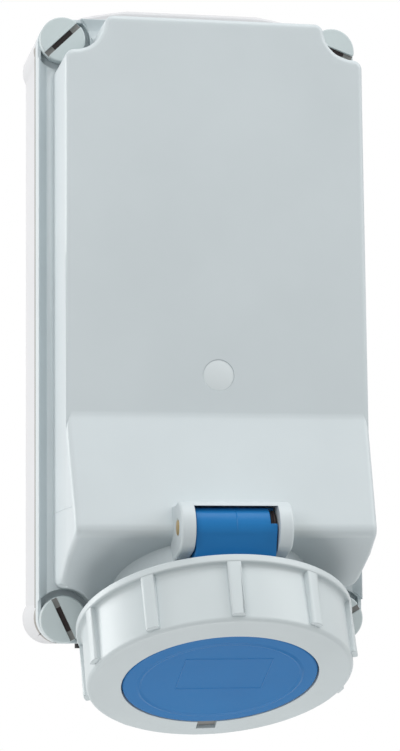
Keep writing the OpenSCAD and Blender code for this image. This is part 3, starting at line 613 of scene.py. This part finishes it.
def lid_marks():
    """Raised lines of the lid: its plateau's edge, an empty label frame, the arm's mould line."""
    bead = []
    for t in round_angles(96):
        along = PLATEAU_R * math.sin(t)
        point = socket_point(PLATEAU_R * math.cos(t), along, lid_level(along))
        side = X_DIR * math.cos(t) + TO_HINGE * math.sin(t)
        bead.append(ridge_row(point, side, AXIS, BEAD_W, BEAD_H))
    label = []
    for right, up in ((0, 0), (1, 0), (1, 1), (0, 1)):
        along = LABEL_ALONG[up]
        corner = socket_point(LABEL_X[right], along, lid_level(along))
        side = X_DIR * (2 * right - 1) + TO_HINGE * (2 * up - 1)
        label.append(ridge_row(corner, side, AXIS, LABEL_LINE_W, LABEL_LINE_H))
    arm = []
    middle = socket_point(0, BARREL_ALONG, BARREL_OUT)
    for angle in range(-45, 36, 10):
        t = math.radians(angle)
        proud = TO_HINGE * math.cos(t) + AXIS * math.sin(t)
        arm.append(ridge_row(middle + proud * BARREL_R * MM, X_DIR, proud, ARM_LINE_W, ARM_LINE_H))
    skins = [(bead, True), (label, True), (arm, False)]
    piece("lid_marks", skins, LID_BLUE, "lid")


def witness_lines():
    """Mould lines across both side walls of the hood and across the flange beside them."""
    up, front = Vector((0, 0, 1)), Vector((0, -1, 0))
    taper = NOSE_INSET / (NOSE_FORWARD - PANEL_FORWARD)
    on_wall = [
        (HOOD_X - max(0, taper * (forward - PANEL_FORWARD)), forward)
        for forward in (FLANGE_FRONT + 2.5, PANEL_FORWARD, PANEL_FORWARD + 9)
    ]
    on_flange = [(HOOD_X + 2.6, FLANGE_FRONT), (FLANGE_X - 0.9, FLANGE_FRONT)]
    skins = []
    for side in (-1, 1):
        for line, proud in ((on_wall, X_DIR * side), (on_flange, front)):
            rows = [
                ridge_row(Vector((side * x, -f, WITNESS_Z)) * MM, up, proud, WITNESS_W, WITNESS_H)
                for x, f in line
            ]
            skins.append((rows, False))
    piece("witness_lines", skins, HOOD_GREY, "housing")


def joint_strips():
    """Edge of the seal between base and hood, along both sides between the corner lobes, grey as
    painted shade of the seam.
    """
    inner = BASE_X - 0.2
    # x and forward: flush with the base, then a bulge that draws in towards the wall
    section = [(inner, BASE_FRONT), (FLANGE_X - 0.3, BASE_FRONT), (FLANGE_X - 0.1, BASE_FRONT - 2)]
    section += [(FLANGE_X - 0.4, JOINT_BACK + 0.5), (inner, JOINT_BACK)]
    skins = []
    for side in (-1, 1):
        rows = [[Vector((side * x, -f, z)) * MM for x, f in section] for z in (-STRIP_Z, STRIP_Z)]
        skins.append((rows, False))
    piece("joint_strips", skins, SEAM_SHADE_GREY, "housing")


def mark_plate():
    """Plain domed plate in the round mark on the panel."""
    edge_r, floor_forward = MARK_R - 0.1, PANEL_FORWARD - MARK_DEPTH
    rows = []
    for r, rise in ((edge_r, -0.05), (edge_r, 0.1), (MARK_R - 0.9, 0.3), (1.0, 0.4)):
        rows.append([
            Vector((r * math.cos(t), -floor_forward - rise, MARK_Z + r * math.sin(t))) * MM
            for t in round_angles(48)
        ])
    piece("mark_plate", [(rows, False)], MARK_GREY, "housing")


# Painted shade in the screw slots: grey along the floor, darkest in the deep middle
slot_floor("slot_floors", reach=0.97, rise=0.05, material=RECESS_SHADE_GREY)
slot_floor("slot_shades", reach=0.55, rise=0.1, material=SHADE)
spring_coils()
web_lip()
notch_floor()
lid_marks()
witness_lines()
joint_strips()
mark_plate()


# Stage, light and camera, in metres, watts and degrees

FLOOR_AT, FLOOR_R = (0, -0.08, -0.7), 0.9
AMBIENT = 0.41
MIDDLE = (0, -0.06, 0)
CAMERA_AT, CAMERA_TURN = (-0.1919, -1.0272, -0.1325), (11.17, 6.48, -0.46)
LENS, SENSOR = 112.2, 36


def add_floor():
    bpy.ops.mesh.primitive_circle_add(
        vertices=96, radius=FLOOR_R, fill_type="NGON", location=FLOOR_AT
    )
    floor = bpy.context.object
    floor.name = "floor"
    pale, shaded = linear(206, 206, 206), linear(200, 200, 200)
    floor.data.materials.append(moulded("floor_pale", pale, shaded, 0.8, grain=400, bump=0.02))


def add_surroundings():
    """White surroundings: full for the camera and in reflections, dimmer as a light."""
    world = bpy.data.worlds.new("studio")
    bpy.context.scene.world = world
    w = Nodes(world)
    seen = w.add("ShaderNodeBackground", Color=WHITE, Strength=1.0)
    ambient = w.add("ShaderNodeBackground", Color=WHITE, Strength=AMBIENT)
    path = w.add("ShaderNodeLightPath")
    direct = path.outputs["Is Camera Ray"]
    for ray in ("Is Glossy Ray", "Is Transmission Ray"):
        either = w.add("ShaderNodeMath", operation="MAXIMUM")
        w.link(direct, either.inputs[0])
        w.link(path.outputs[ray], either.inputs[1])
        direct = either.outputs["Value"]
    choose = w.add("ShaderNodeMixShader")
    w.link(direct, choose.inputs["Fac"])
    w.link(ambient.outputs["Background"], choose.inputs[1])
    w.link(seen.outputs["Background"], choose.inputs[2])
    out = w.add("ShaderNodeOutputWorld")
    w.link(choose.outputs["Shader"], out.inputs["Surface"])


def area_light(name, at, target, size, power):
    light = bpy.data.lights.new(name, "AREA")
    light.shape = "RECTANGLE"
    light.size, light.size_y = size
    light.energy = power
    obj = add_object(name, light)
    obj.location = at
    obj.rotation_mode = "QUATERNION"
    obj.rotation_quaternion = (Vector(target) - Vector(at)).to_track_quat("-Z", "Y")


def add_camera():
    lens = bpy.data.cameras.new("camera")
    lens.sensor_width = SENSOR
    lens.lens = LENS
    lens.clip_start, lens.clip_end = 0.05, 20
    camera = add_object("camera", lens)
    camera.location = CAMERA_AT
    yaw, pitch, roll = (math.radians(angle) for angle in CAMERA_TURN)
    level = Matrix.Rotation(-yaw, 4, "Z") @ Matrix.Rotation(math.pi / 2 + pitch, 4, "X")
    camera.rotation_euler = (level @ Matrix.Rotation(roll, 4, "Z")).to_euler()
    bpy.context.scene.camera = camera


add_floor()
add_surroundings()
area_light("key", (1.2, -0.58, 0.67), MIDDLE, (0.9, 1.1), 9)
area_light("side", (-1.2, 0.64, 0.14), MIDDLE, (0.8, 0.8), 10)
area_light("fill", (-0.9, -1.0, 0.5), MIDDLE, (0.8, 0.8), 5.5)
area_light("top", (0, -0.5, 1.3), (0, -0.08, 0), (1.0, 0.8), 7)
area_light("low", (0, -0.12, -0.66), (0, -0.1, -0.13), (0.5, 0.4), 1.2)
add_camera()
bpy.context.scene.view_settings.view_transform = "Standard"
